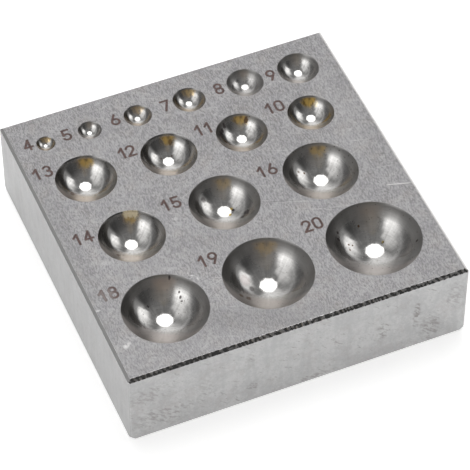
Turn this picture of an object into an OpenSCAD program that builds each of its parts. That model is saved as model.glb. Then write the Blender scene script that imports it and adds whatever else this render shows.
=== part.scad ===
// Flat doming block: one ground steel plate with round hollows that each carry a size number.
// Sheet metal is laid over a hollow and driven into it with a round punch of the same size.
// The origin is the middle of the underside, +Z points up through the hollows and +Y to the back.

/* [Block] */
// Width of the block, left to right
block_w = 75; // [73:0.5:120]
// Depth of the block, front to back
block_d = 75; // [73:0.5:120]
// Height of the block
block_h = 19.5; // [13:0.5:40]
// Bevel along the four top edges
top_bevel = 0.6; // [0.1:0.1:1.2]
// Bevel along the four bottom edges
bottom_bevel = 0.5; // [0.1:0.1:2]
// Bevel down the four upright edges
upright_bevel = 0.3; // [0.1:0.1:1]
// Length that is filed off each edge where three meet at a bottom corner
foot_cut = 1.5; // [1:0.1:4]

/* [Hollows] */
// How much wider than its size number each hollow is across
oversize = 0; // [-0.2:0.05:0.2]
// Depth of each hollow, as a share of half its width
depth_share = 0.68; // [0.6:0.01:0.9]
// Width of the broken edge round each mouth
lip = 0.05; // [0.05:0.05:0.3]

/* [Size numbers] */
// Height of a digit
digit_h = 3.2; // [2.4:0.1:3.8]
// Width of a digit
digit_w = 2; // [1.6:0.1:2.4]
// Width of the burnt line that a digit is drawn with
line_w = 0.42; // [0.25:0.01:0.5]
// Depth of the burnt line below the top face
line_depth = 0.12; // [0.06:0.01:0.4]
// How far the dark scale in the line stays below the top face
scale_sunk = 0.02; // [0.01:0.01:0.05]

/* [Hidden] */

$fn = 96;
// Length by which a cutter runs past the face that it cuts
past = 1;
// The round end of a line is a touch wider than the line, so that their sides cross
tip_extra = 0.03;

// Drilling plan. Each hollow has its size across, then its centre from the block's centre.
// Its number ends at the third entry, which is the lower right corner of the last digit from the
// hollow's centre. The fourth is the space between two digits, less than none after a thin one.
hollows = [
    // back row
    [4, [-30, 29.2], [-2.7, -0.6], 0],
    [5, [-20, 29.2], [-4.1, -1], 0],
    [6, [-9, 29.2], [-4, -0.9], 0],
    [7, [2.9, 29.2], [-4.3, -1.3], 0],
    [8, [16, 29.2], [-5, -1.1], 0],
    [9, [28.3, 28.7], [-5.3, -1.3], 0],
    // second row
    [10, [25.5, 15.5], [-4.5, 2.9], 0.1],
    [11, [9.6, 15.9], [-4.9, 2.5], 0.2],
    [12, [-7.1, 16.1], [-6.1, 2.5], -0.3],
    [13, [-25.7, 16.5], [-5.8, 3.5], 0.2],
    // third row
    [14, [-22.7, -2.1], [-7.4, 1.8], 0.2],
    [15, [-1.5, -1], [-8.4, 2.4], 0.1],
    [16, [20.6, -0.7], [-8.3, 2.9], 0.2],
    // front row
    [18, [-23.6, -22.8], [-7.2, 6.4], 0.1],
    [19, [-0.7, -22.3], [-7.9, 6.5], 0.2],
    [20, [23.1, -22.2], [-8.1, 6.8], 0.4],
];

// A digit's lines run along their middles: half a digit to each side of its centre, from low to high
half = (digit_w - line_w) / 2;
low = line_w / 2;
high = digit_h - line_w / 2;

// The two rounds of a three or an eight, which cross each other a little at the waist
upper_r = 0.87 * half;
waist_cross = 0.3 * line_w;
lower_r = (high - low + waist_cross) / 2 - upper_r;

// A rectangle with its four corners cut, seen along one of the block's axes
module bevelled_section(w, h, lower, upper) {
    polygon([
        [-w / 2 + lower, 0], [w / 2 - lower, 0], [w / 2, lower], [w / 2, h - upper],
        [w / 2 - upper, h], [-w / 2 + upper, h], [-w / 2, h - upper], [-w / 2, lower],
    ]);
}

// The plate with its edges bevelled: where its three sections meet
module bevelled_plate() {
    intersection() {
        translate([0, block_d / 2, 0])
            rotate([90, 0, 0])
                linear_extrude(block_d)
                    bevelled_section(block_w, block_h, bottom_bevel, top_bevel);
        translate([-block_w / 2, 0, 0])
            rotate([90, 0, 90])
                linear_extrude(block_w)
                    bevelled_section(block_d, block_h, bottom_bevel, top_bevel);
        translate([0, -block_d / 2, 0])
            linear_extrude(block_h)
                bevelled_section(block_w, block_d, upright_bevel, upright_bevel);
    }
}

// What a file takes off one bottom corner: all beyond a plane that leans equally on its three edges
module foot_cutter() {
    lean = atan(1 / sqrt(2));
    side = 4 * foot_cut;
    translate([block_w / 2, block_d / 2, 0])
        rotate([0, lean, 45])
            translate([-foot_cut / sqrt(3), -side / 2, -side / 2])
                cube(side);
}

// The plate before drilling
module plate() {
    difference() {
        bevelled_plate();
        for (left = [0, 1], front = [0, 1])
            mirror([left, 0, 0])
                mirror([0, front, 0])
                    foot_cutter();
    }
}

// What a ball cutter takes away: the low part of a ball, and the broken edge round its mouth
module hollow(size) {
    mouth_r = (size + oversize) / 2;
    depth = depth_share * mouth_r;
    ball_r = (mouth_r * mouth_r + depth * depth) / (2 * depth);
    // the cone of the broken edge starts inside the ball
    cone_start = 3 * lip;
    translate([0, 0, ball_r - depth])
        sphere(r = ball_r);
    translate([0, 0, -cone_start])
        cylinder(r1 = mouth_r + lip - cone_start, r2 = mouth_r + lip + past, h = cone_start + past);
}

// A straight line from one point to another, with square ends
module straight(from, to, h) {
    run = to - from;
    translate(from)
        rotate(atan2(run.y, run.x))
            translate([0, -line_w / 2, 0])
                cube([norm(run), line_w, h]);
}

// The round end of a line, or its round corner with the next line
module tip(at, h) {
    translate(at)
        cylinder(d = line_w + tip_extra, h = h);
}

// A bent line round a centre, from one angle to a larger one
module bend(centre, r, from, to, h) {
    translate(centre)
        rotate_extrude(start = from, angle = to - from)
            translate([r - line_w / 2, 0])
                square([line_w, h]);
}

// Straight lines through a list of points, with a round end or corner at each point
module lines(points, h) {
    for (i = [1 : len(points) - 1])
        straight(points[i - 1], points[i], h);
    for (point = points)
        tip(point, h);
}

// The point of a bend at an angle
function on_bend(centre, r, angle) = centre + r * [cos(angle), sin(angle)];

module zero(h) {
    bend([0, high - half], half, 0, 180, h);
    bend([0, low + half], half, 180, 360, h);
    for (side = [-half, half])
        straight([side, low + half], [side, high - half], h);
}

module one(h) {
    flag_out = 0.4 * digit_w;
    flag_drop = 0.27 * digit_h;
    lines([[-flag_out, high - flag_drop], [0, high], [0, low]], h);
}

module two(h) {
    centre = [0, high - half];
    foot = [-half, low];
    start = 165;
    // the slope leaves the bend where the two run the same way
    reach = foot - centre;
    leave = atan2(reach.y, reach.x) + acos(half / norm(reach));
    tip(on_bend(centre, half, start), h);
    bend(centre, half, leave, start, h);
    lines([on_bend(centre, half, leave), foot, [half, low]], h);
}

module three(h) {
    upper = [0, high - upper_r];
    lower = [0, low + lower_r];
    start = 150;
    waist = 100;
    tip(on_bend(upper, upper_r, start), h);
    bend(upper, upper_r, -waist, start, h);
    bend(lower, lower_r, -start, waist, h);
    tip(on_bend(lower, lower_r, -start), h);
}

module four(h) {
    stem = 0.4 * half;
    bar = 0.3 * digit_h;
    bar_end = 1.1 * half;
    lines([[stem, low], [stem, high], [-half, bar], [bar_end, bar]], h);
}

module five(h) {
    top_bar = [-0.75 * half, 0.85 * half];
    bowl_r = 1.02 * half;
    bowl = [half - bowl_r, low + bowl_r];
    start = 140;
    finish = -155;
    lines([[top_bar[1], high], [top_bar[0], high], on_bend(bowl, bowl_r, start)], h);
    bend(bowl, bowl_r, finish, start, h);
    tip(on_bend(bowl, bowl_r, finish), h);
}

module six(h) {
    bowl = [0, low + half];
    tail_top = 0.3 * half;
    tail_foot = 160;
    bend(bowl, half, 0, 360, h);
    lines([on_bend(bowl, half, tail_foot), [tail_top, high]], h);
}

module seven(h) {
    foot = -0.5 * half;
    lines([[-half, high], [half, high], [foot, low]], h);
}

module eight(h) {
    bend([0, high - upper_r], upper_r, 0, 360, h);
    bend([0, low + lower_r], lower_r, 0, 360, h);
}

module nine(h) {
    translate([0, digit_h, 0])
        rotate(180)
            six(h);
}

module digit(value, h) {
    if (value == 0) zero(h);
    if (value == 1) one(h);
    if (value == 2) two(h);
    if (value == 3) three(h);
    if (value == 4) four(h);
    if (value == 5) five(h);
    if (value == 6) six(h);
    if (value == 7) seven(h);
    if (value == 8) eight(h);
    if (value == 9) nine(h);
}

// Every size number, as solid lines of one height that stand on the floor of the burnt lines
module numbers(h) {
    for (plan = hollows) {
        size = plan[0];
        end = plan[1] + plan[2];
        step = digit_w + plan[3];
        translate([end.x - digit_w / 2, end.y, block_h - line_depth]) {
            digit(size % 10, h);
            if (size >= 10)
                translate([-step, 0, 0])
                    digit(floor(size / 10), h);
        }
    }
}

// The steel block, drilled and with its numbers sunk into the top face
module block() {
    color("silver")
        difference() {
            plate();
            for (plan = hollows)
                translate([plan[1].x, plan[1].y, block_h])
                    hollow(plan[0]);
            numbers(line_depth + past);
        }
}

// The dark scale that lies in the burnt lines
module size_numbers() {
    color("#5b4440")
        numbers(line_depth - scale_sunk);
}

block();
size_numbers();
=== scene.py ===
"""A flat doming block: one square block of ground steel with polished round hollows and size numbers."""
import math

import bmesh
import bpy
from mathutils import Matrix, Vector, kdtree, noise
from mathutils.geometry import delaunay_2d_cdt


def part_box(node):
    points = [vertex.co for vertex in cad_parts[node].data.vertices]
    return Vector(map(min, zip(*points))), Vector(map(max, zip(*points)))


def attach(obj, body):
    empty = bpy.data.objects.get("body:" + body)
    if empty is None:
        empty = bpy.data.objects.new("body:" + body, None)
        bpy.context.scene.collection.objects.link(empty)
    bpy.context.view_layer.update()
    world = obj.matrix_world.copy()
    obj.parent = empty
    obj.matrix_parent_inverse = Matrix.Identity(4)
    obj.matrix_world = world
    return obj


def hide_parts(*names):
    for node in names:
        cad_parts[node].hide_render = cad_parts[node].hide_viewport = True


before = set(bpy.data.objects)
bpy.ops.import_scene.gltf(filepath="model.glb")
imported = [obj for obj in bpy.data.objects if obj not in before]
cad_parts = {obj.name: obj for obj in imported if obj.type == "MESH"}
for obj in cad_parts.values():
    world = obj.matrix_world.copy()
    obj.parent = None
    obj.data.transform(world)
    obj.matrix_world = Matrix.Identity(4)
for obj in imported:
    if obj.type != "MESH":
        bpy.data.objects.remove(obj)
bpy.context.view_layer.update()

MM = 0.001

# The block's sizes, in metres: the frame's box gives the overall ones
BLOCK_LOW, BLOCK_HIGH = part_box("block")
HALF_W = BLOCK_HIGH.x
HALF_D = BLOCK_HIGH.y
TOP = BLOCK_HIGH.z
TOP_BEVEL = 0.6 * MM
BOTTOM_BEVEL = 0.5 * MM
UPRIGHT_BEVEL = 0.3 * MM
FOOT_CUT = 1.5 * MM
LINE_DEPTH = 0.12 * MM
LIP = 0.05 * MM
DEPTH_SHARE = 0.68      # depth of a hollow, as a share of half its width

# Each hollow's size across, in millimetres, and its centre on the top face, from the block's centre
HOLLOWS = {
    4: (-30, 29.2), 5: (-20, 29.2), 6: (-9, 29.2), 7: (2.9, 29.2), 8: (16, 29.2), 9: (28.3, 28.7),
    10: (25.5, 15.5), 11: (9.6, 15.9), 12: (-7.1, 16.1), 13: (-25.7, 16.5),
    14: (-22.7, -2.1), 15: (-1.5, -1), 16: (20.6, -0.7),
    18: (-23.6, -22.8), 19: (-0.7, -22.3), 20: (23.1, -22.2),
}

# How each hollow has aged: its amber film's strength, reach and redness, then its dullness, tool marks and pits
FINISH = {
    4: (0.65, 0.6, 0.1, 0.12, 1, 0.3), 5: (0.1, 0.4, 0.5, 0.14, 1, 0.3), 6: (0.5, 0.5, 0.2, 0.12, 1, 0.3),
    7: (0.65, 0.45, 0.1, 0.12, 0.9, 0.3), 8: (0.2, 0.3, 0.6, 0.5, 0.9, 0.2), 9: (0.05, 0.4, 0.5, 0.2, 0.6, 0.3),
    10: (1, 0.33, 0, 0.14, 0.5, 0.3), 11: (1, 0.3, 0.1, 0.15, 0.6, 0.8), 12: (1, 0.26, 0.1, 0.08, 0.4, 0.3),
    13: (1, 0.26, 0.1, 0.1, 0.4, 0.3), 14: (0.8, 0.24, 0.1, 0.1, 0.4, 0.3), 15: (0.5, 0.24, 0.1, 0.2, 0.4, 0.4),
    16: (0.7, 0.22, 0, 0.2, 0.4, 0.8), 18: (0.4, 0.26, 0.8, 0.18, 0.4, 0.4), 19: (0.65, 0.22, 0.2, 0.25, 1, 0.3),
    20: (0.25, 0.2, 0.8, 0.25, 0.5, 0.6),
}

# The steel block's materials, in the order of their slots
TOP_FACE, SIDE_FACE, BEVEL, HOLLOW = range(4)


def hollow_place(size):
    """The middle of a hollow's mouth."""
    x, y = HOLLOWS[size]
    return Vector((x * MM, y * MM, TOP))


# Mesh: the outer shell, from the rim of the top face round to the rim of the underside

STATION = 0.15 * MM      # length of a mesh strip along a side
EASE = 0.04 * MM         # how far an edge is rounded over

# The rows of the mesh across a bevel, as shares of its width from the top face down
BEVEL_SHARES = (0, 0.06, 0.28, 0.5, 0.72, 0.94, 1)

# The bevels' cutter marks, and how deep they are at the front, right, back and left
CHATTER_PITCH = 1.1 * MM
CHATTER_DEPTH = 0.07 * MM
CHATTER_SHARE = (1, 0.4, 0.4, 0.12)

# The nicks along the rim of the top face: how far in they start, and how deep they get on each side
NICK_WIDTH = 0.3 * MM
NICK_DEPTH = 0.07 * MM
NICK_LENGTH = 0.5 * MM
NICK_SHARE = (0.8, 0.6, 0.6, 0.15)


def shell_profile():
    """The lines that run round the block, from the top face down.

    Each has its inset and its height, how far the cutter's marks move it inward and down, and its
    share of the nicks. The marks run out over both edges of the bevel.
    """
    rows = [
        (TOP_BEVEL + NICK_WIDTH, TOP, 0, 0, 0),
        (TOP_BEVEL + EASE, TOP, 2, 0, 1),
        (TOP_BEVEL + 0.25 * EASE, TOP - 0.15 * EASE, 2, 0, 1),
    ]
    for share in BEVEL_SHARES:
        inset = TOP_BEVEL - EASE / 2 - (TOP_BEVEL - EASE) * share
        rows.append((inset, TOP - TOP_BEVEL + inset, 1, 1, max(0, 1 - 2.8 * share)))
    rows.append((0.1 * EASE, TOP - TOP_BEVEL - 0.25 * EASE, 0, 2, 0))
    rows.append((0, TOP - TOP_BEVEL - EASE, 0, 2, 0))
    below = (
        (0, TOP - TOP_BEVEL - 6 * EASE),
        (0, TOP / 2),
        (0, FOOT_CUT + EASE),
        (0, FOOT_CUT - UPRIGHT_BEVEL),
        (0, BOTTOM_BEVEL + EASE),
        (EASE / 2, BOTTOM_BEVEL - EASE / 2),
        (BOTTOM_BEVEL - EASE / 2, EASE / 2),
        (BOTTOM_BEVEL + EASE, 0),
    )
    return rows + [(inset, z, 0, 0, 0) for inset, z in below]


def step(value, low, high):
    """A smooth step from 0 at low to 1 at high."""
    share = min(1, max(0, (value - low) / (high - low)))
    return share * share * (3 - 2 * share)


def corner_room(inset, z):
    """How far short of the square corner a line of the shell stops, for its mitre or its corner cut."""
    return max(inset, UPRIGHT_BEVEL - inset, FOOT_CUT - inset - z)


def chatter(run, inset, side):
    """How deep the cutter's marks reach into a bevel, at a place along and across it."""
    lean = 2 * inset / TOP_BEVEL
    drift = noise.noise(Vector((run / (5 * CHATTER_PITCH), side, 0)))
    wave = math.sin(2 * math.pi * (run / CHATTER_PITCH + 2 * drift) + lean)
    bite = noise.noise(Vector((run / (0.7 * CHATTER_PITCH), lean, side + 9)))
    flake = noise.noise(Vector((run / (0.25 * CHATTER_PITCH), lean, side + 20)))
    vigour = 0.5 + 0.8 * step(run, -25 * MM, -5 * MM)
    depth = 0.65 + vigour * (0.5 * wave + 1.2 * bite + 0.6 * flake)
    return CHATTER_DEPTH * CHATTER_SHARE[side] * min(1, max(0, depth))


def nick(run, side):
    """How far the rim of the top face is knocked down, at a place along a side."""
    dent = noise.noise(Vector((run / NICK_LENGTH, side, 5)))
    stretch = noise.noise(Vector((run / (20 * NICK_LENGTH), side, 30)))
    return NICK_DEPTH * NICK_SHARE[side] * step(dent + 0.6 * stretch, 0.2, 0.5)


def shell_ring(inset, z, inward, down, nicks):
    """One closed line of points round the block, corner to corner along the front, right, back and left."""
    room = corner_room(inset, z)
    ring = []
    corners = [Vector(c) for c in ((-1, -1), (1, -1), (1, 1), (-1, 1))]
    for side, start in enumerate(corners):
        end = corners[(side + 1) % 4]
        along = (end - start).normalized()
        half_run, half_across = (HALF_W, HALF_D) if along.x else (HALF_D, HALF_W)
        outward = (start + end).normalized()
        count = round(2 * half_run / STATION)
        reach = half_run - room
        for i in range(count + 1):
            run = reach * (2 * i / count - 1)
            inner = 0 < i < count
            cut = chatter(run, inset, side) / math.sqrt(2) if inner else 0
            knock = nicks * nick(run, side) if inner else 0
            at = along * run + outward * (half_across - inset - inward * cut)
            ring.append(Vector((at.x, at.y, z - down * cut - knock)))
    return ring


def build_shell(bm):
    """The bevels and sides as strips of quads. Returns the first and the last ring of vertices."""
    profile = shell_profile()
    rings = [[bm.verts.new(p) for p in shell_ring(*line)] for line in profile]
    first_bevel = 2
    last_bevel = first_bevel + len(BEVEL_SHARES)
    for row, (upper, lower) in enumerate(zip(rings, rings[1:])):
        slot = TOP_FACE if row == 0 else BEVEL if first_bevel - 1 <= row <= last_bevel else SIDE_FACE
        for i in range(len(upper)):
            j = (i + 1) % len(upper)
            bm.faces.new((lower[i], lower[j], upper[j], upper[i])).material_index = slot
    return rings[0], rings[-1]


# Mesh: the loops of the size numbers, read from the frame

def number_loops():
    """The outline of each burnt line, seen from above: closed lists of points, counterclockwise."""
    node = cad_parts["size_numbers"]
    bm = bmesh.new()
    bm.from_mesh(node.data)
    bm.transform(node.matrix_world)
    bmesh.ops.remove_doubles(bm, verts=bm.verts, dist=0.001 * MM)
    lid = max(v.co.z for v in bm.verts) - 0.01 * MM
    up = [f for f in bm.faces if f.calc_center_median().z > lid and abs(f.normal.z) > 0.9]
    edge_use = {}
    for f in up:
        for e in f.edges:
            edge_use.setdefault(e, []).append(f)
    border = [e for e, faces in edge_use.items() if len(faces) == 1]
    links = {}
    for e in border:
        a, b = e.verts
        links.setdefault(a, []).append(b)
        links.setdefault(b, []).append(a)
    loops = []
    unused = set(links)
    for start in sorted(links, key=lambda v: v.index):
        if start not in unused:
            continue
        loop = [start]
        unused.discard(start)
        here = links[start][0]
        before = start
        while here is not start:
            loop.append(here)
            unused.discard(here)
            ahead = [v for v in links[here] if v is not before]
            before, here = here, ahead[0]
        loop = [v.co.xy for v in loop]
        area = sum(a.cross(b) for a, b in zip(loop, loop[1:] + loop[:1]))
        loops.append(loop if area > 0 else loop[::-1])
    bm.free()
    return loops


# The heat round a burnt line: how far its tint reaches, and the spacing of the points that carry it
BURN_REACH = 0.16 * MM
BURN_SPACING = 0.1 * MM


def outline_tree(loops):
    """A search tree of points close together along the outlines of the numbers."""
    points = []
    for loop in loops:
        for a, b in zip(loop, loop[1:] + loop[:1]):
            parts = max(1, math.ceil((b - a).length / (0.3 * BURN_SPACING)))
            points += [a.lerp(b, i / parts) for i in range(parts)]
    tree = kdtree.KDTree(len(points))
    for k, point in enumerate(points):
        tree.insert((point.x, point.y, 0), k)
    tree.balance()
    return tree


def burnt_points(loops, tree):
    """Points of a grid that lie near the numbers' outlines."""
    found = {}
    for loop in loops:
        low = [math.floor((min(p[k] for p in loop) - BURN_REACH) / BURN_SPACING) for k in (0, 1)]
        high = [math.ceil((max(p[k] for p in loop) + BURN_REACH) / BURN_SPACING) for k in (0, 1)]
        for i in range(low[0], high[0] + 1):
            for j in range(low[1], high[1] + 1):
                point = Vector(((i + 0.5 * (j % 2)) * BURN_SPACING, j * BURN_SPACING))
                gap = tree.find((point.x, point.y, 0))[2]
                if 0.4 * BURN_SPACING < gap < BURN_REACH + BURN_SPACING:
                    found[i, j] = point
    return [found[key] for key in sorted(found)]


# Mesh: the top face between the rims and the numbers

# The rims' small waves, and the burr of one rim: its hollow, its middle angle and its half width
RIM_WANDER = 0.1 * MM
BURR_DEPTH = 0.2 * MM
BURR_HOLLOW = 18
BURR_ANGLE = math.radians(42)
BURR_SPREAD = math.radians(22)


def rim_steps(size):
    """Points round a hollow's rim."""
    return 64 if size < 10 else 96 if size < 14 else 128


def rim_shift(size, angle):
    """How far a rim lies outside its true circle, at an angle."""
    lobe = noise.noise(Vector((1.6 * math.cos(angle), 1.6 * math.sin(angle), size)))
    ragged = noise.noise(Vector((12 * math.cos(angle), 12 * math.sin(angle), size)))
    shift = RIM_WANDER * max(0, lobe + 0.12 * ragged)
    if size == BURR_HOLLOW:
        shift += BURR_DEPTH * ragged * step(BURR_SPREAD - abs(angle - BURR_ANGLE), 0, 0.5 * BURR_SPREAD)
    return shift


def rim_circle(size, radius, ragged=0):
    """Points of a circle round a hollow's axis, counterclockwise, with a share of the rim's raggedness."""
    centre = hollow_place(size)
    steps = rim_steps(size)
    points = []
    for i in range(steps):
        angle = 2 * math.pi * i / steps
        reach = radius + ragged * rim_shift(size, angle)
        points.append(Vector((centre.x + reach * math.cos(angle), centre.y + reach * math.sin(angle))))
    return points


def without_repeats(ring):
    """A ring's vertices, without those that lie where the one before them does."""
    return [v for v, before in zip(ring, ring[-1:] + ring[:-1]) if (v.co - before.co).length > 1e-8]


def build_top(bm, outer, loops, tree):
    """The flat top face, and the sunk floors and walls of the burnt lines. Returns the hollows' rims."""
    outer = without_repeats(outer)
    points = [Vector((v.co.x, v.co.y)) for v in outer]
    faces = [list(range(len(points)))]
    for size in HOLLOWS:
        rim = rim_circle(size, size * MM / 2 + LIP, 1)
        faces.append(list(range(len(points), len(points) + len(rim))))
        points += rim
    for loop in loops:
        faces.append(list(range(len(points), len(points) + len(loop))))
        points += loop
    points += burnt_points(loops, tree)
    got, _, triangles, _, _, inside = delaunay_2d_cdt(points, [], faces, 0, 1e-9)
    if len(got) != len(points):
        raise ValueError("the outlines on the top face cross each other")
    verts = list(outer) + [bm.verts.new((p.x, p.y, TOP)) for p in points[len(outer):]]
    sunk = {}

    def floor_vert(k):
        if k not in sunk:
            sunk[k] = bm.verts.new((points[k].x, points[k].y, TOP - LINE_DEPTH))
        return sunk[k]

    first_loop = 1 + len(HOLLOWS)
    for triangle, owners in zip(triangles, inside):
        if 0 not in owners or any(0 < k < first_loop for k in owners):
            continue
        in_line = sum(1 for k in owners if k >= first_loop) % 2
        face = bm.faces.new([floor_vert(k) if in_line else verts[k] for k in triangle])
        face.material_index = TOP_FACE
    for loop in faces[first_loop:]:
        for a, b in zip(loop, loop[1:] + loop[:1]):
            face = bm.faces.new((verts[a], verts[b], floor_vert(b), floor_vert(a)))
            face.material_index = TOP_FACE
    return {size: [verts[k] for k in face] for size, face in zip(HOLLOWS, faces[1:])}


def build_hollow(bm, size, rim):
    """The broken edge and the bowl under one rim."""
    centre = hollow_place(size)
    mouth = size * MM / 2
    depth = DEPTH_SHARE * mouth
    ball = (mouth ** 2 + depth ** 2) / (2 * depth)
    rise = ball - depth
    # the broken edge meets the ball a little below the mouth's own depth of wall
    down = LIP * mouth / (mouth - rise)
    across = math.sqrt(ball ** 2 - (rise + down) ** 2)
    rows = [((mouth + LIP + across) / 2, -down / 2)]
    start = math.asin((rise + down) / ball)
    count = rim_steps(size) // 5
    for i in range(count):
        angle = start + (math.pi / 2 - start) * i / count
        rows.append((ball * math.cos(angle), rise - ball * math.sin(angle)))
    upper = rim
    for radius, height in rows:
        lower = [bm.verts.new((p.x, p.y, TOP + height)) for p in rim_circle(size, radius)]
        for i in range(len(upper)):
            j = (i + 1) % len(upper)
            bm.faces.new((upper[i], upper[j], lower[j], lower[i])).material_index = HOLLOW
        upper = lower
    pole = bm.verts.new((centre.x, centre.y, TOP - depth))
    for i in range(len(upper)):
        bm.faces.new((upper[i], upper[(i + 1) % len(upper)], pole)).material_index = HOLLOW


def build_underside(bm, ring):
    """The flat underside."""
    ring = without_repeats(ring)
    points = [Vector((v.co.x, v.co.y)) for v in ring]
    _, _, triangles, _, _, _ = delaunay_2d_cdt(points, [], [list(range(len(points)))], 1, 1e-9)
    for a, b, c in triangles:
        bm.faces.new((ring[c], ring[b], ring[a])).material_index = SIDE_FACE


def write_wear(mesh, tree):
    """Gives each point how burnt it is by the numbers' lines, and how deep the bevel's cut is there."""
    for name in ("burn", "cut"):
        mesh.attributes.new(name, "FLOAT", "POINT")
    burn = mesh.attributes["burn"].data
    cut = mesh.attributes["cut"].data
    for vertex in mesh.vertices:
        x, y, z = vertex.co
        inset = min(HALF_W - abs(x), HALF_D - abs(y))
        if z < TOP / 2:
            continue
        if inset < TOP_BEVEL:
            cut[vertex.index].value = max(0, inset + TOP - z - TOP_BEVEL) / (math.sqrt(2) * CHATTER_DEPTH)
        elif inset < TOP_BEVEL + NICK_WIDTH:
            cut[vertex.index].value = (TOP - z) / NICK_DEPTH
        elif z > TOP - 2 * LINE_DEPTH:
            gap = tree.find((x, y, 0))[2]
            burn[vertex.index].value = step(BURN_REACH - gap, 0, BURN_REACH)


def write_places(mesh):
    """Gives each point of a hollow its place in the mouth's own measure, its film and its finish."""
    for name in ("mouth_place", "film", "finish"):
        mesh.attributes.new(name, "FLOAT_VECTOR", "POINT")
    place = mesh.attributes["mouth_place"].data
    film = mesh.attributes["film"].data
    finish = mesh.attributes["finish"].data
    for vertex in mesh.vertices:
        for size in HOLLOWS:
            off = (vertex.co - hollow_place(size)) / (size * MM / 2)
            if math.hypot(off.x, off.y) < 1.05 and off.z > -DEPTH_SHARE - 0.01:
                place[vertex.index].vector = off
                film[vertex.index].vector = FINISH[size][:3]
                finish[vertex.index].vector = FINISH[size][3:]


# The map for baking: the top in one corner, two sides in strips beside it, two above it and the underside

MAP_EDGE = 0.005
MAP_TOP = 0.65
MAP_FIRST = 0.665
MAP_SECOND = 0.83
MAP_STRIP = 0.16
MAP_FOOT = 0.325


def map_place(point, normal):
    """Where a point of a face lies on the map, by the way that the face looks."""
    across = (point.x + HALF_W) / (2 * HALF_W)
    back = (point.y + HALF_D) / (2 * HALF_D)
    up = point.z / TOP
    if normal.z > 0.2:
        return MAP_EDGE + MAP_TOP * across, MAP_EDGE + MAP_TOP * back
    if normal.z < -0.2:
        return MAP_FIRST + MAP_FOOT * across, MAP_FIRST + MAP_FOOT * back
    if abs(normal.y) > abs(normal.x):
        start = MAP_FIRST if normal.y < 0 else MAP_SECOND
        return MAP_EDGE + MAP_TOP * across, start + MAP_STRIP * up
    start = MAP_FIRST if normal.x < 0 else MAP_SECOND
    return start + MAP_STRIP * up, MAP_EDGE + MAP_TOP * back


def write_map(mesh):
    """Lays every face out on the map for baking."""
    layer = mesh.uv_layers.new(name="OFBake")
    for face in mesh.polygons:
        for loop in face.loop_indices:
            point = mesh.vertices[mesh.loops[loop].vertex_index].co
            layer.data[loop].uv = map_place(point, face.normal)


def build_block():
    """The steel block as one closed mesh."""
    bm = bmesh.new()
    top_ring, bottom_ring = build_shell(bm)
    loops = number_loops()
    tree = outline_tree(loops)
    rims = build_top(bm, top_ring, loops, tree)
    for size, rim in rims.items():
        build_hollow(bm, size, rim)
    build_underside(bm, bottom_ring)
    bmesh.ops.remove_doubles(bm, verts=bm.verts, dist=1e-8)
    bmesh.ops.recalc_face_normals(bm, faces=bm.faces)
    mesh = bpy.data.meshes.new("steel_block")
    bm.to_mesh(mesh)
    bm.free()
    mesh.set_sharp_from_angle(angle=math.radians(30))
    for face in mesh.polygons:
        face.use_smooth = abs(face.normal.z) < 0.9999
    write_wear(mesh, tree)
    write_places(mesh)
    write_map(mesh)
    block = bpy.data.objects.new("steel_block", mesh)
    bpy.context.collection.objects.link(block)
    return block


# Materials

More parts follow.
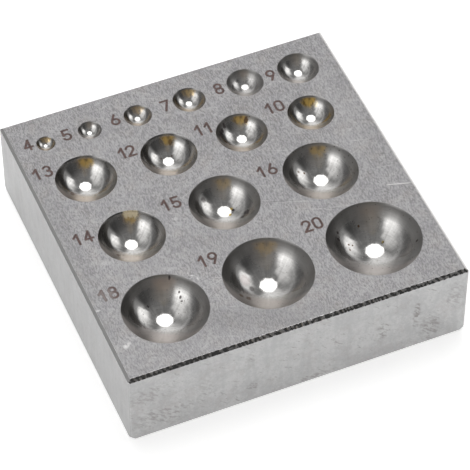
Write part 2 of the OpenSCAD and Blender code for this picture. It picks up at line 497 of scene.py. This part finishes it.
class Finish:
    """One material, and short ways to add the nodes that vary it over the surface."""

    def __init__(self, name):
        self.material = bpy.data.materials.new(name)
        self.material.use_nodes = True
        self.nodes = self.material.node_tree.nodes
        self.links = self.material.node_tree.links
        self.shader = self.nodes["Principled BSDF"]

    def add(self, kind, sockets, **settings):
        """A node with its settings, whose sockets take a value or another node's output."""
        node = self.nodes.new("ShaderNode" + kind)
        for key, value in settings.items():
            setattr(node, key, value)
        for key, value in sockets.items():
            if isinstance(value, bpy.types.NodeSocket):
                self.links.new(value, node.inputs[key])
            else:
                node.inputs[key].default_value = value
        return node

    def place(self):
        """The place on the object, in millimetres."""
        coords = self.nodes.new("ShaderNodeTexCoord").outputs["Object"]
        return self.scaled(coords, (1 / MM, 1 / MM, 1 / MM))

    def stored(self, name):
        """The node of a value that the mesh carries at each point."""
        node = self.nodes.new("ShaderNodeAttribute")
        node.attribute_name = name
        return node

    def scaled(self, vector, scale):
        node = self.add("VectorMath", {0: vector, 1: scale}, operation="MULTIPLY")
        return node.outputs[0]

    def math(self, operation, a, b=0.0):
        return self.add("Math", {0: a, 1: b}, operation=operation).outputs[0]

    def sum(self, *parts):
        """The sum of several values, each given with its weight."""
        total = 0.0
        for value, weight in parts:
            total = self.add("Math", {0: value, 1: weight, 2: total}, operation="MULTIPLY_ADD").outputs[0]
        return total

    def along(self, vector, direction):
        """How far a vector reaches in a direction."""
        return self.add("VectorMath", {0: vector, 1: direction}, operation="DOT_PRODUCT").outputs["Value"]

    def turned(self, vector, angle):
        """A vector turned about +Z."""
        return self.add("VectorRotate", {"Vector": vector, "Angle": angle}, rotation_type="Z_AXIS").outputs[0]

    def noise(self, vector, scale, detail=2.0, roughness=0.5):
        """Cloudy noise between 0 and 1, with its scale in cycles for each unit of the vector."""
        sockets = {"Vector": vector, "Scale": scale, "Detail": detail, "Roughness": roughness}
        return self.add("TexNoise", sockets).outputs[0]

    def ramp(self, value, low, high, to_low=0.0, to_high=1.0):
        """A smooth step of a value, from one number at low to another at high."""
        sockets = {0: value, 1: low, 2: high, 3: to_low, 4: to_high}
        return self.add("MapRange", sockets, interpolation_type="SMOOTHSTEP").outputs[0]

    def mixed(self, share, a, b, blend="MIX"):
        """One colour over another."""
        node = self.add("Mix", {0: share, 6: a, 7: b}, data_type="RGBA", blend_type=blend)
        return node.outputs[2]

    def bump(self, height, distance, strength=1.0, below=None):
        sockets = {"Height": height, "Distance": distance, "Strength": strength}
        if below is not None:
            sockets["Normal"] = below
        return self.add("Bump", sockets).outputs[0]

    def set(self, **inputs):
        """Sets the shader's own sockets, by their names with underscores."""
        for key, value in inputs.items():
            socket = self.shader.inputs[key.replace("_", " ")]
            if isinstance(value, bpy.types.NodeSocket):
                self.links.new(value, socket)
            else:
                socket.default_value = value


def rgb(r, g, b):
    return (r, g, b, 1)


# Scratches on the top face: two ends and a width in millimetres, and how bright or, below 0, how dark they are
SCRATCHES = [
    ((31.2, -9.6), (37.2, -11.4), 0.13, 1), ((25, -12), (27.7, -12.6), 0.08, 0.6),
    ((29.4, 0.2), (36.7, -2), 0.14, -0.5), ((29, -1.3), (33.6, -2.6), 0.12, -0.4),
    ((29.5, -4.2), (36, -5.2), 0.1, 0.3), ((30, 4.6), (34.7, 3.4), 0.08, 0.35),
    ((5.2, -4), (16.2, -7.4), 0.1, -0.45), ((7.2, -4.9), (14.7, -7.5), 0.08, 0.35),
    ((6, -1.2), (9.6, -2.4), 0.1, -0.3), ((12, -9.4), (24, -12.4), 0.07, 0.3),
    ((-15, -19.2), (-10, -18.3), 0.12, -0.6), ((-15, -23.8), (-10, -22), 0.12, -0.6),
    ((-15.4, -21), (-9.8, -20.2), 0.08, 0.3), ((10, -33.8), (16.5, -36), 0.1, -0.3),
]

# Pale rubbed spots on the top face, and broad patches of painted shade and painted light: the middle and the two half
# lengths in millimetres, and how pale they are
RUBS_AND_PAINTED_SHADE = [
    ((-34.6, -28.9), (0.9, 0.6), 1), ((-33.7, -28.4), (0.5, 0.6), 0.9), ((-31.5, -6.4), (3.6, 0.9), 0.25),
    ((-19, -13.4), (2.4, 0.6), 0.25), ((-12.7, -1.3), (0.8, 0.5), 0.4), ((-36.4, -18.1), (0.6, 0.3), 0.8),
    ((17, 13), (1.3, 2.4), -0.15), ((22, 9.4), (1.2, 0.8), -0.1), ((11.6, -8.4), (0.35, 0.25), -1),
    ((-15.4, -16.8), (0.4, 0.2), 1), ((-14.6, -18.1), (0.2, 0.6), 0.9), ((-15.9, -15.9), (0.25, 0.2), 0.8),
    # the last four, broad and weak, are painted shade and painted light rather than rubs: darker at the front and left,
    # lighter at the right
    ((-8, -32), (18, 4), -0.45), ((-10, -10), (6, 6), -0.15), ((31, 12), (5, 18), 0.1),
    ((-35, 3), (2.5, 18), -0.3),
]


def crossed(f, x, y, middle, turn):
    """How far a place is along and across a line through a middle, turned from +X."""
    dx = f.math("SUBTRACT", x, middle.x)
    dy = f.math("SUBTRACT", y, middle.y)
    along = f.sum((dx, math.cos(turn)), (dy, math.sin(turn)))
    across = f.sum((dx, -math.sin(turn)), (dy, math.cos(turn)))
    return f.math("ABSOLUTE", along), f.math("ABSOLUTE", across)


def scratched(f, place, ragged, colour):
    """Thin scratches, pale or dark spots, and broad patches of painted shade and painted light over a colour."""
    bright = rgb(0.85, 0.84, 0.83)
    dark = rgb(0.16, 0.155, 0.155)
    x, y, _ = f.add("SeparateXYZ", {0: place}).outputs
    for start, end, width, strength in SCRATCHES:
        run = Vector(end) - Vector(start)
        middle = Vector(start) + run / 2
        along, across = crossed(f, x, y, middle, math.atan2(run.y, run.x))
        share = f.math("MULTIPLY", f.ramp(across, width, 0), f.ramp(along, run.length / 2, 0.3 * run.length))
        share = f.math("MULTIPLY", share, abs(strength))
        colour = f.mixed(share, colour, bright if strength > 0 else dark)
    for middle, halves, strength in RUBS_AND_PAINTED_SHADE:
        along, across = crossed(f, x, y, Vector(middle), -0.3 if halves[0] > halves[1] else 0)
        shares = {0: f.math("DIVIDE", along, halves[0]), 1: f.math("DIVIDE", across, halves[1])}
        oval = f.add("CombineXYZ", shares).outputs[0]
        reach = f.sum((f.add("VectorMath", {0: oval}, operation="LENGTH").outputs["Value"], 1), (ragged, 1))
        colour = f.mixed(f.ramp(reach, 1.7, 0.7, 0, 0.6 * abs(strength)), colour, bright if strength > 0 else dark)
    return colour


def ground_top():
    """The surface-ground top: fine grain in several directions, faint clouds, dark specks and scratches, broad painted
    shade and light, and a painted highlight on the knocked rim.
    """
    f = Finish("ground_top")
    place = f.place()
    mottle = f.noise(f.scaled(place, (4.5, 3.2, 1)), 1, 2, 0.6)
    along = f.noise(f.scaled(place, (5.4, 1.4, 1)), 1, 2, 0.6)
    right = f.noise(f.scaled(f.turned(place, 0.35), (5.4, 1.1, 1)), 1, 2, 0.6)
    left = f.noise(f.scaled(f.turned(place, -0.3), (5.4, 1.1, 1)), 1, 2, 0.6)
    cloud = f.noise(place, 0.16, 3, 0.55)
    fleck = f.noise(place, 2.3, 2, 0.6)
    tone = f.sum((mottle, 0.14), (along, 0.39), (right, 0.2), (left, 0.2), (cloud, 0.07))
    colour = f.mixed(f.ramp(tone, 0.41, 0.59), rgb(0.213, 0.207, 0.21), rgb(0.449, 0.44, 0.443))
    tint = f.noise(place, 0.3, 2, 0.5)
    colour = f.mixed(f.ramp(tint, 0.35, 0.65, 0.1, 0), colour, rgb(0.34, 0.35, 0.4))
    colour = f.mixed(f.ramp(tint, 0.55, 0.75, 0, 0.15), colour, rgb(0.42, 0.37, 0.34))
    # long hairs in two directions, bright and dark, thicker in some places than in others
    for angle in (1.2, -1.15):
        hair = f.noise(f.scaled(f.turned(place, angle), (8, 0.2, 1)), 1, 1)
        hair = f.sum((hair, 1), (cloud, 0.2))
        colour = f.mixed(f.ramp(hair, 0.76, 0.88, 0, 0.5), colour, rgb(0.62, 0.61, 0.61))
        colour = f.mixed(f.ramp(hair, 0.44, 0.32, 0, 0.5), colour, rgb(0.2, 0.195, 0.195))
    colour = f.mixed(f.ramp(fleck, 0.7, 0.8, 0, 0.8), colour, rgb(0.15, 0.14, 0.135))
    colour = scratched(f, place, fleck, colour)
    # the knocked rim is smoother and also painted lighter: a painted highlight where it catches the lamp
    nick_and_painted_highlight = f.ramp(f.stored("cut").outputs["Fac"], 0.1, 0.6)
    colour = f.mixed(nick_and_painted_highlight, colour, rgb(0.5, 0.5, 0.5))
    burn = f.sum((f.stored("burn").outputs["Fac"], 1), (fleck, 0.5))
    burn = f.ramp(burn, 0.35, 1.2, 0, 0.8)
    colour = f.mixed(burn, colour, rgb(0.115, 0.075, 0.068))
    rough = f.math("SUBTRACT", f.ramp(tone, 0.4, 0.6, 0.36, 0.52), f.math("MULTIPLY", nick_and_painted_highlight, 0.25))
    f.set(Base_Color=colour, Metallic=f.ramp(burn, 0, 0.8, 0.6, 0.3), Roughness=rough)
    f.set(Normal=f.bump(tone, 0.006 * MM, 0.6))
    return f.material


# Smudges on the front face: the middle, across and up, and the half lengths in millimetres, and how dark
SMUDGES = [
    ((-33, 13), (5, 3), 0.5), ((-30, 5), (7, 3), 0.6), ((-10.5, 5), (1.6, 1.4), 0.7), ((-11, 14), (1.2, 3), 0.3),
    ((18.5, 8.5), (1.6, 2.6), 0.8), ((26, 10.5), (0.8, 4.5), 0.9), ((29.5, 5), (2.6, 4), 0.7),
    ((35, 12.5), (2.4, 4), 0.5), ((3, 1.5), (5, 0.8), 0.6), ((-21, 9), (2, 4), 0.3),
]


def smudged(f, place, ragged, lines, colour):
    """Dark scribbled smudges on the front face, over a colour."""
    x, y, z = f.add("SeparateXYZ", {0: place}).outputs
    dirt = 0.0
    for middle, halves, strength in SMUDGES:
        shares = [f.math("DIVIDE", f.math("SUBTRACT", value, m), h) for value, m, h in zip((x, z), middle, halves)]
        oval = f.add("CombineXYZ", {0: shares[0], 1: shares[1]}).outputs[0]
        reach = f.sum((f.add("VectorMath", {0: oval}, operation="LENGTH").outputs["Value"], 1), (ragged, 1.2))
        dirt = f.math("MAXIMUM", f.ramp(reach, 2, 1, 0, strength), dirt)
    front = f.ramp(y, -HALF_D / MM + 0.2, -HALF_D / MM)
    dirt = f.math("MULTIPLY", f.math("MULTIPLY", dirt, front), f.ramp(lines, 0.44, 0.62))
    return f.mixed(dirt, colour, rgb(0.25, 0.235, 0.23))


def ground_side():
    """The sides and the underside: ground smoother than the top, with soft blotches, stains, scuffs and painted shade
    on the left face.
    """
    f = Finish("ground_side")
    place = f.place()
    cloud = f.noise(place, 0.2, 3, 0.55)
    blot = f.noise(place, 0.9, 3, 0.6)
    scuff = f.noise(f.scaled(place, (0.9, 0.9, 0.12)), 1, 3, 0.55)
    fine = f.noise(f.scaled(place, (3, 3, 2.2)), 1, 2, 0.6)
    tone = f.sum((cloud, 0.3), (scuff, 0.25), (blot, 0.2), (fine, 0.25))
    colour = f.mixed(f.ramp(tone, 0.4, 0.6), rgb(0.41, 0.41, 0.412), rgb(0.5, 0.5, 0.498))
    stain = f.noise(place, 0.16, 5, 0.7)
    stain = f.math("MULTIPLY", f.ramp(stain, 0.5, 0.58, 0, 0.3), f.ramp(blot, 0.4, 0.55))
    colour = f.mixed(stain, colour, rgb(0.33, 0.3, 0.3))
    slant = f.add("VectorRotate", {"Vector": place, "Angle": 0.8}, rotation_type="Y_AXIS").outputs[0]
    drag = f.noise(f.scaled(slant, (2.6, 1, 0.5)), 1, 2, 0.6)
    drag = f.math("MULTIPLY", f.ramp(drag, 0.6, 0.72, 0, 0.6), f.ramp(cloud, 0.42, 0.55))
    colour = f.mixed(drag, colour, rgb(0.23, 0.22, 0.215))
    # painted shade: the left face is painted darker
    across = f.add("SeparateXYZ", {0: place}).outputs[0]
    left_face_painted_shade = f.ramp(across, -HALF_W / MM + 0.2, -HALF_W / MM, 0, 0.42)
    colour = f.mixed(left_face_painted_shade, colour, rgb(0.3, 0.3, 0.3))
    scribble = f.noise(f.scaled(slant, (2.2, 1, 0.7)), 1, 2, 0.6)
    colour = smudged(f, place, blot, scribble, colour)
    f.set(Base_Color=colour, Metallic=1.0, Roughness=f.ramp(scuff, 0.3, 0.7, 0.33, 0.42))
    f.set(Normal=f.bump(fine, 0.003 * MM, 0.5))
    return f.material


def cut_bevel():
    """The bevels: dark where the cutter bit, lighter between its marks."""
    f = Finish("cut_bevel")
    place = f.place()
    grit = f.noise(place, 1.1, 3, 0.6)
    # the cutter bit less in three stretches of the front edge
    across = f.add("SeparateXYZ", {0: place}).outputs[0]
    middle = f.ramp(f.math("ABSOLUTE", f.math("ADD", across, 2)), 10, 3)
    shallow = f.math("MAXIMUM", middle, f.math("MAXIMUM", f.ramp(across, 22, 30), f.ramp(across, -22, -32)))
    cut = f.sum((f.stored("cut").outputs["Fac"], 0.6), (grit, 0.6), (shallow, -0.1))
    colour = f.mixed(f.ramp(cut, 0.38, 0.7), rgb(0.66, 0.65, 0.645), rgb(0.27, 0.265, 0.265))
    f.set(Base_Color=colour, Metallic=1.0, Roughness=f.ramp(cut, 0.38, 0.7, 0.32, 0.22))
    f.set(Normal=f.bump(grit, 0.015 * MM, 0.6))
    return f.material


# Marks in the hollows: the hollow, the place in its mouth's measure, the radius, how strong and the colour
BLACK = (0.06, 0.05, 0.05)
UMBER = (0.11, 0.06, 0.03)
GOLD = (0.45, 0.34, 0.12)
CREAM = (0.95, 0.84, 0.6)
ROSE = (0.4, 0.33, 0.32)
HOLLOW_MARKS = [
    (15, (0.29, 0.2), 0.05, 1, GOLD), (15, (0.32, 0.14), 0.045, 1, BLACK), (15, (0.19, 0.05), 0.05, 0.9, GOLD),
    (15, (0.58, -0.2), 0.09, 0.8, BLACK), (15, (0.44, -0.25), 0.06, 0.7, BLACK), (15, (-0.38, 0.63), 0.07, 0.6, BLACK),
    (11, (-0.76, 0.4), 0.08, 0.9, BLACK), (11, (-0.66, 0.5), 0.08, 0.9, BLACK), (11, (-0.56, 0.62), 0.07, 0.9, BLACK),
    (11, (-0.42, 0.77), 0.08, 0.9, BLACK), (11, (0.48, 0.73), 0.09, 0.9, UMBER),
    (16, (-0.39, 0.55), 0.03, 0.6, UMBER), (16, (-0.47, 0.46), 0.025, 0.6, UMBER), (16, (-0.24, 0.51), 0.025, 1, UMBER),
    (20, (-0.01, 0.73), 0.025, 1, UMBER), (20, (-0.38, 0.33), 0.02, 1, UMBER), (20, (-0.36, 0.44), 0.02, 1, UMBER),
    (20, (-0.28, 0.42), 0.016, 1, UMBER), (20, (0.35, 0.28), 0.03, 1, GOLD), (20, (0.36, 0.27), 0.015, 1, BLACK),
    (20, (0.86, -0.26), 0.025, 1, BLACK), (20, (-0.56, 0.53), 0.03, 1, BLACK), (20, (-0.53, 0.65), 0.025, 1, BLACK),
    (12, (0.35, 0.76), 0.08, 0.8, UMBER), (12, (0.25, 0.38), 0.035, 0.8, UMBER), (12, (-0.14, 0.41), 0.03, 0.8, UMBER),
    (14, (0.17, 0.96), 0.09, 1, CREAM), (14, (0.31, 0.92), 0.09, 1, CREAM), (14, (0.44, 0.86), 0.09, 1, CREAM), (14, (-0.49, -0.09), 0.06, 0.6, UMBER),
    (18, (-0.2, 0.58), 0.03, 0.9, BLACK), (18, (0.56, 0.57), 0.025, 0.9, BLACK), (18, (0.55, 0.48), 0.03, 0.9, BLACK),
    (18, (0.55, 0.39), 0.02, 0.9, BLACK), (18, (0.44, 0.86), 0.03, 0.9, BLACK),
    (19, (-0.63, 0.01), 0.05, 0.7, UMBER), (19, (-0.49, -0.06), 0.06, 0.7, UMBER), (19, (-0.3, 0.2), 0.06, 0.6, BLACK), (19, (-0.38, 0.4), 0.13, 0.35, ROSE),
    (13, (-0.49, 0.03), 0.08, 0.6, UMBER), (13, (0.73, 0.01), 0.07, 0.4, UMBER), (10, (0.53, 0.62), 0.1, 0.6, CREAM),
]


def marked(f, place, ragged, colour):
    """Small stains and craters over a colour. Returns the colour, and where they are."""
    stained = 0.0
    for size, (across, back), radius, strength, stain in HOLLOW_MARKS:
        mouth = size / 2
        x, y = HOLLOWS[size]
        middle = (x + across * mouth, y + back * mouth, 0)
        off = f.add("VectorMath", {0: place, 1: middle}, operation="SUBTRACT").outputs[0]
        flat = f.scaled(off, (1, 1, 0))
        reach = f.add("VectorMath", {0: flat}, operation="LENGTH").outputs["Value"]
        reach = f.sum((reach, 1), (ragged, radius * mouth))
        share = f.ramp(reach, 1.7 * radius * mouth, 1.1 * radius * mouth, 0, strength)
        colour = f.mixed(share, colour, rgb(*stain))
        stained = f.math("MAXIMUM", share, stained)
    return colour, stained


def polished_hollow():
    """A hollow's polished bowl: arcs from the cutter, streaks from polishing, an amber film and pits, with painted
    shade on its walls and a painted pink reflection.
    """
    f = Finish("polished_hollow")
    place = f.place()
    mouth = f.stored("mouth_place").outputs["Vector"]
    amber, spread, redness = f.add("SeparateXYZ", {0: f.stored("film").outputs["Vector"]}).outputs
    dull, marks, pitted = f.add("SeparateXYZ", {0: f.stored("finish").outputs["Vector"]}).outputs
    flat = f.scaled(mouth, (1, 1, 0))
    around = f.add("VectorMath", {0: flat}, operation="NORMALIZE").outputs[0]
    reach = f.add("VectorMath", {0: flat}, operation="LENGTH").outputs["Value"]
    down = f.add("SeparateXYZ", {0: place}).outputs[2]

    # arcs run round the bowl and break off; streaks run from its rim to its middle
    level = f.add("CombineXYZ", {2: f.math("MULTIPLY", down, 4.5)}).outputs[0]
    arc = f.noise(f.add("VectorMath", {0: f.scaled(around, (2.2, 2.2, 0)), 1: level}).outputs[0], 1, 3, 0.65)
    outward = f.add("CombineXYZ", {2: f.math("MULTIPLY", reach, 1.6)}).outputs[0]
    streak = f.noise(f.add("VectorMath", {0: f.scaled(around, (9, 9, 0)), 1: outward}).outputs[0], 1, 2, 0.6)
    smudge = f.noise(place, 0.4, 3, 0.5)
    grit = f.noise(place, 2.6, 2, 0.6)

    tone = f.sum((arc, 0.4), (streak, 0.45), (smudge, 0.15))
    colour = f.mixed(f.ramp(tone, 0.4, 0.6), rgb(0.47, 0.462, 0.45), rgb(0.62, 0.61, 0.595))
    colour = f.mixed(f.ramp(grit, 0.62, 0.75, 0, 0.5), colour, rgb(0.22, 0.21, 0.195))
    colour = f.mixed(f.ramp(reach, 0.82, 1, 0, 0.7), colour, rgb(0.29, 0.285, 0.28))
    # painted shade: the outer wall on the same side of every hollow, turned from the lamps, is painted darker
    facing = f.sum((f.along(around, (0.65, 0.76, 0)), 1), (arc, 0.3))
    painted_shade_wall = f.math("MULTIPLY", f.ramp(reach, 0.62, 0.8), f.ramp(facing, 0.9, 0.45))
    colour = f.mixed(f.math("MULTIPLY", painted_shade_wall, 0.6), colour, rgb(0.24, 0.235, 0.23))

    # the back wall is hazy where the film runs out
    off = f.add("VectorMath", {0: mouth, 1: (0.18, 0.78, -0.32)}, operation="SUBTRACT").outputs[0]
    far = f.add("VectorMath", {0: off}, operation="LENGTH").outputs["Value"]
    haze = f.ramp(f.sum((far, 1), (arc, 0.25)), 0.52, 0.3)
    colour = f.mixed(f.math("MULTIPLY", haze, 0.35), colour, rgb(0.45, 0.42, 0.405))

    off = f.add("VectorMath", {0: mouth, 1: (0.3, 0.9, -0.15)}, operation="SUBTRACT").outputs[0]
    far = f.add("VectorMath", {0: off}, operation="LENGTH").outputs["Value"]
    far = f.sum((far, 1), (f.noise(place, 0.9, 3, 0.65), 0.35), (spread, -1))
    height = f.add("SeparateXYZ", {0: mouth}).outputs[2]
    film = f.math("MULTIPLY", f.math("MULTIPLY", f.ramp(far, 0.3, 0.05), amber), f.ramp(height, -0.03, -0.13))
    thick = f.ramp(f.noise(f.scaled(mouth, (7, 3, 3)), 1, 3, 0.65), 0.38, 0.6)
    olive = f.mixed(thick, rgb(0.26, 0.17, 0.055), rgb(0.72, 0.5, 0.15))
    colour = f.mixed(film, colour, f.mixed(redness, olive, rgb(0.62, 0.5, 0.46)))

    # the wall nearest the camera is matt; on its left is a faint pink painted reflection, and the walls beside it are
    # painted darker as painted shade
    near = f.ramp(f.sum((f.along(mouth, (-0.39, -0.92, 0)), 1), (arc, 0.1)), 0.08, 0.22)
    left = f.ramp(f.sum((f.along(mouth, (-1, 0, 0)), 1), (arc, 0.15)), 0.56, 0.76)
    pink_painted_reflection = f.ramp(f.sum((f.along(mouth, (-0.6, -0.8, 0)), 1), (arc, 0.1), (left, -0.2)), 0.15, 0.3)
    right = f.ramp(f.along(mouth, (0.8, -0.6, 0)), 0.3, 0.6)
    colour = f.mixed(f.math("MULTIPLY", left, 0.85), colour, rgb(0.15, 0.145, 0.14))
    colour = f.mixed(f.math("MULTIPLY", right, 0.45), colour, rgb(0.24, 0.235, 0.235))
    colour = f.mixed(f.math("MULTIPLY", pink_painted_reflection, 0.6), colour, rgb(0.62, 0.57, 0.55))
    colour = f.mixed(f.ramp(dull, 0.1, 0.35, 0, 0.3), colour, rgb(0.38, 0.375, 0.37))

    spots = f.add("TexVoronoi", {"Vector": place, "Scale": 1.6})
    chance = f.add("SeparateXYZ", {0: spots.outputs["Color"]}).outputs[0]
    pit = f.math("MULTIPLY", f.ramp(spots.outputs["Distance"], 0.26, 0.14), f.ramp(chance, 0.7, 0.8))
    pit = f.math("MULTIPLY", pit, pitted)
    colour = f.mixed(pit, colour, rgb(0.08, 0.07, 0.06))
    colour, stained = marked(f, place, grit, colour)

    f.set(Base_Color=colour, Metallic=f.sum((film, -0.2), (stained, -0.4), (1, 1)))
    # the polish is duller in the haze and along the rim
    rim = f.ramp(f.sum((reach, 1), (dull, 0.4)), 0.86, 1)
    worn = f.math("MULTIPLY", f.math("MAXIMUM", haze, rim), f.ramp(dull, 0, 0.18, 0, 0.27))
    worn = f.sum((worn, 1), (near, 0.24), (left, 0.06), (right, 0.1), (pit, 0.4), (film, 0.2))
    f.set(Roughness=f.sum((dull, 0.15), (f.ramp(tone, 0.35, 0.65, 0.045, 0.09), 1), (worn, 1)))
    wobble = f.bump(smudge, 0.008 * MM, 0.5)
    relief = f.sum((f.math("MULTIPLY", arc, marks), 1), (streak, 0.15))
    f.set(Normal=f.bump(relief, 0.014 * MM, 0.5, wobble))
    return f.material


# The number that is worn: the middle of its digits, and how far the wear reaches, in millimetres
WORN_MIDDLE = (-33.4, -14.8, 0)
WORN_REACH = 2.6


def burnt_scale():
    """The matt oxide in the burnt lines, red-brown where it is thin, and worn grey at one number."""
    f = Finish("burnt_scale")
    place = f.place()
    crust = f.noise(place, 3, 3, 0.6)
    colour = f.mixed(f.ramp(crust, 0.35, 0.65), rgb(0.07, 0.04, 0.036), rgb(0.175, 0.11, 0.1))
    off = f.add("VectorMath", {0: place, 1: WORN_MIDDLE}, operation="SUBTRACT").outputs[0]
    far = f.add("VectorMath", {0: f.scaled(off, (1, 1, 0))}, operation="LENGTH").outputs["Value"]
    far = f.sum((far, 1), (crust, WORN_REACH))
    colour = f.mixed(f.ramp(far, 1.6 * WORN_REACH, 0.8 * WORN_REACH, 0, 0.8), colour, rgb(0.33, 0.29, 0.28))
    f.set(Base_Color=colour, Roughness=f.ramp(crust, 0.3, 0.7, 0.55, 0.75))
    f.set(Normal=f.bump(crust, 0.02 * MM, 0.6))
    return f.material


block = build_block()
for material in (ground_top(), ground_side(), cut_bevel(), polished_hollow()):
    block.data.materials.append(material)
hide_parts("block")
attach(block, "root")

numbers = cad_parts["size_numbers"]
numbers.data.materials.clear()
numbers.data.materials.append(burnt_scale())


# Studio: glowing cards round the block, in directions given as headings from +Y towards +X

CARD_STEP = 4


def direction(heading, elevation):
    """The unit vector towards a heading and an elevation, both in degrees."""
    h = math.radians(heading)
    e = math.radians(elevation)
    return Vector((math.sin(h) * math.cos(e), math.cos(h) * math.cos(e), math.sin(e)))


def card(name, points, faces, strength, colour=(1, 1, 1), shares=None):
    """A glowing card that may fade out. It isn't part of the object, and the camera doesn't see it."""
    mesh = bpy.data.meshes.new(name)
    mesh.from_pydata([p[:] for p in points], [], faces)
    fade = mesh.attributes.new("fade", "FLOAT", "POINT")
    for k in range(len(points)):
        fade.data[k].value = shares[k] if shares else 1
    lamp = bpy.data.objects.new(name, mesh)
    bpy.context.collection.objects.link(lamp)
    f = Finish(name)
    glow = f.add("Emission", {"Color": rgb(*colour), "Strength": strength}).outputs[0]
    clear = f.add("BsdfTransparent", {}).outputs[0]
    shown = f.add("MixShader", {0: f.stored("fade").outputs["Fac"], 1: clear, 2: glow}).outputs[0]
    f.links.new(shown, f.nodes["Material Output"].inputs["Surface"])
    mesh.materials.append(f.material)
    lamp.visible_camera = False


def curved_card(name, headings, elevations, distance, strength, soft, colour=(1, 1, 1)):
    """A card bent round the block, between two headings and two elevations.

    Its soft edges are given in degrees: at the first heading, the second, the foot and the head.
    """
    across = round((headings[1] - headings[0]) / CARD_STEP)
    upward = round((elevations[1] - elevations[0]) / CARD_STEP)
    points = []
    shares = []
    for j in range(upward + 1):
        elevation = elevations[0] + (elevations[1] - elevations[0]) * j / upward
        for i in range(across + 1):
            heading = headings[0] + (headings[1] - headings[0]) * i / across
            points.append(direction(heading, elevation) * distance)
            edges = (
                heading - headings[0], headings[1] - heading, elevation - elevations[0], elevations[1] - elevation
            )
            share = 1
            for edge, width in zip(edges, soft):
                share *= step(edge, 0, width) if width else 1
            shares.append(share)
    row = across + 1
    faces = [
        (j * row + i, j * row + i + 1, (j + 1) * row + i + 1, (j + 1) * row + i)
        for j in range(upward)
        for i in range(across)
    ]
    card(name, points, faces, strength, colour, shares)


def octagon_card(name, heading, zenith, half_angle, distance, strength):
    """An eight-sided card square to its direction."""
    aim = direction(heading, 90 - zenith)
    side = aim.cross(Vector((0, 0, 1))).normalized()
    up = side.cross(aim)
    radius = distance * math.tan(math.radians(half_angle))
    points = []
    for k in range(8):
        turn = math.pi / 8 + k * math.pi / 4
        points.append(aim * distance + (side * math.cos(turn) + up * math.sin(turn)) * radius)
    card(name, points, [tuple(range(8))], strength)


octagon_card("top_softbox", 25, 17.3, 18.5, 1.0, 2.8)
curved_card("left_softbox", (224, 301), (14, 64), 1.2, 1.85, (14, 58, 14, 29))
curved_card("right_softbox", (53, 114), (22, 58), 1.2, 1.6, (39, 3, 6, 16))
curved_card("left_high_card", (238, 345), (33, 74), 1.3, 0.95, (11, 57, 17, 8))
curved_card("back_high_card", (-30, 47), (9, 58), 1.38, 1.19, (43, 21, 17, 0))
curved_card("warm_card", (181, 225), (2, 74), 1.15, 0.37, (6, 44, 3, 13), (1, 0.9, 0.75))
curved_card("camera_side_flag", (114, 230), (0, 70), 1.4, 0.1, (14, 11, 0, 35))
curved_card("left_back_flag", (268, 356), (0, 31), 1.43, 0.22, (3, 10, 0, 4))
curved_card("right_back_flag", (55, 99), (0, 32), 1.43, 0.12, (6, 18, 0, 4))
curved_card("room", (0, 360), (0, 62), 1.5, 0.55, (0, 0, 0, 0))
curved_card("ceiling", (0, 360), (35, 90), 1.48, 0.28, (0, 0, 6, 0))

FLOOR_HALF = 3
FLOOR_GLOW = 0.6


def paper():
    """The pale floor, which shows white to the camera and in reflections and still takes a shadow."""
    f = Finish("paper")
    place = f.place()
    f.set(Base_Color=f.mixed(f.noise(place, 0.5, 2), rgb(0.79, 0.79, 0.79), rgb(0.81, 0.81, 0.81)))
    f.set(Roughness=0.9)
    path = f.nodes.new("ShaderNodeLightPath")
    seen = f.math("MAXIMUM", path.outputs["Is Camera Ray"], path.outputs["Is Glossy Ray"])
    seen = f.math("MAXIMUM", seen, path.outputs["Is Transmission Ray"])
    glow = f.add("Emission", {"Strength": FLOOR_GLOW}).outputs[0]
    bright = f.add("AddShader", {0: f.shader.outputs[0], 1: glow}).outputs[0]
    shown = f.add("MixShader", {0: seen, 1: f.shader.outputs[0], 2: bright}).outputs[0]
    f.links.new(shown, f.nodes["Material Output"].inputs["Surface"])
    return f.material


def build_floor():
    """A wide flat floor under the block."""
    mesh = bpy.data.meshes.new("floor")
    corners = [(-1, -1), (1, -1), (1, 1), (-1, 1)]
    mesh.from_pydata([(x * FLOOR_HALF, y * FLOOR_HALF, 0) for x, y in corners], [], [(0, 1, 2, 3)])
    mesh.materials.append(paper())
    floor = bpy.data.objects.new("floor", mesh)
    bpy.context.collection.objects.link(floor)


def build_world():
    """The pale room."""
    world = bpy.data.worlds.new("studio")
    bpy.context.scene.world = world
    world.use_nodes = True
    background = world.node_tree.nodes["Background"]
    background.inputs["Color"].default_value = rgb(1, 0.99, 0.985)
    background.inputs["Strength"].default_value = 0.75


# Camera: at the photograph's viewing angle, from a fit of the block's edges and rims

CAMERA_AT = Vector((-154.2, -369.5, 469.2)) * MM
CAMERA_HEADING = math.radians(22.82)    # from +Y towards +X
CAMERA_DOWN = math.radians(49.08)
CAMERA_ROLL = math.radians(0.12)
SENSOR = 36
FOCAL_PIXELS = 2881
PHOTO_PIXELS = 470


def build_camera():
    """The camera, looking down at the block from the front left."""
    data = bpy.data.cameras.new("camera")
    data.sensor_width = SENSOR
    data.lens = FOCAL_PIXELS / PHOTO_PIXELS * SENSOR
    data.clip_start = 0.01
    camera = bpy.data.objects.new("camera", data)
    bpy.context.collection.objects.link(camera)
    camera.matrix_world = (
        Matrix.Translation(CAMERA_AT)
        @ Matrix.Rotation(-CAMERA_HEADING, 4, "Z")
        @ Matrix.Rotation(math.pi / 2 - CAMERA_DOWN, 4, "X")
        @ Matrix.Rotation(-CAMERA_ROLL, 4, "Z")
    )
    bpy.context.scene.camera = camera


build_floor()
build_world()
build_camera()
bpy.context.scene.view_settings.view_transform = "Standard"

bpy.context.view_layer.update()
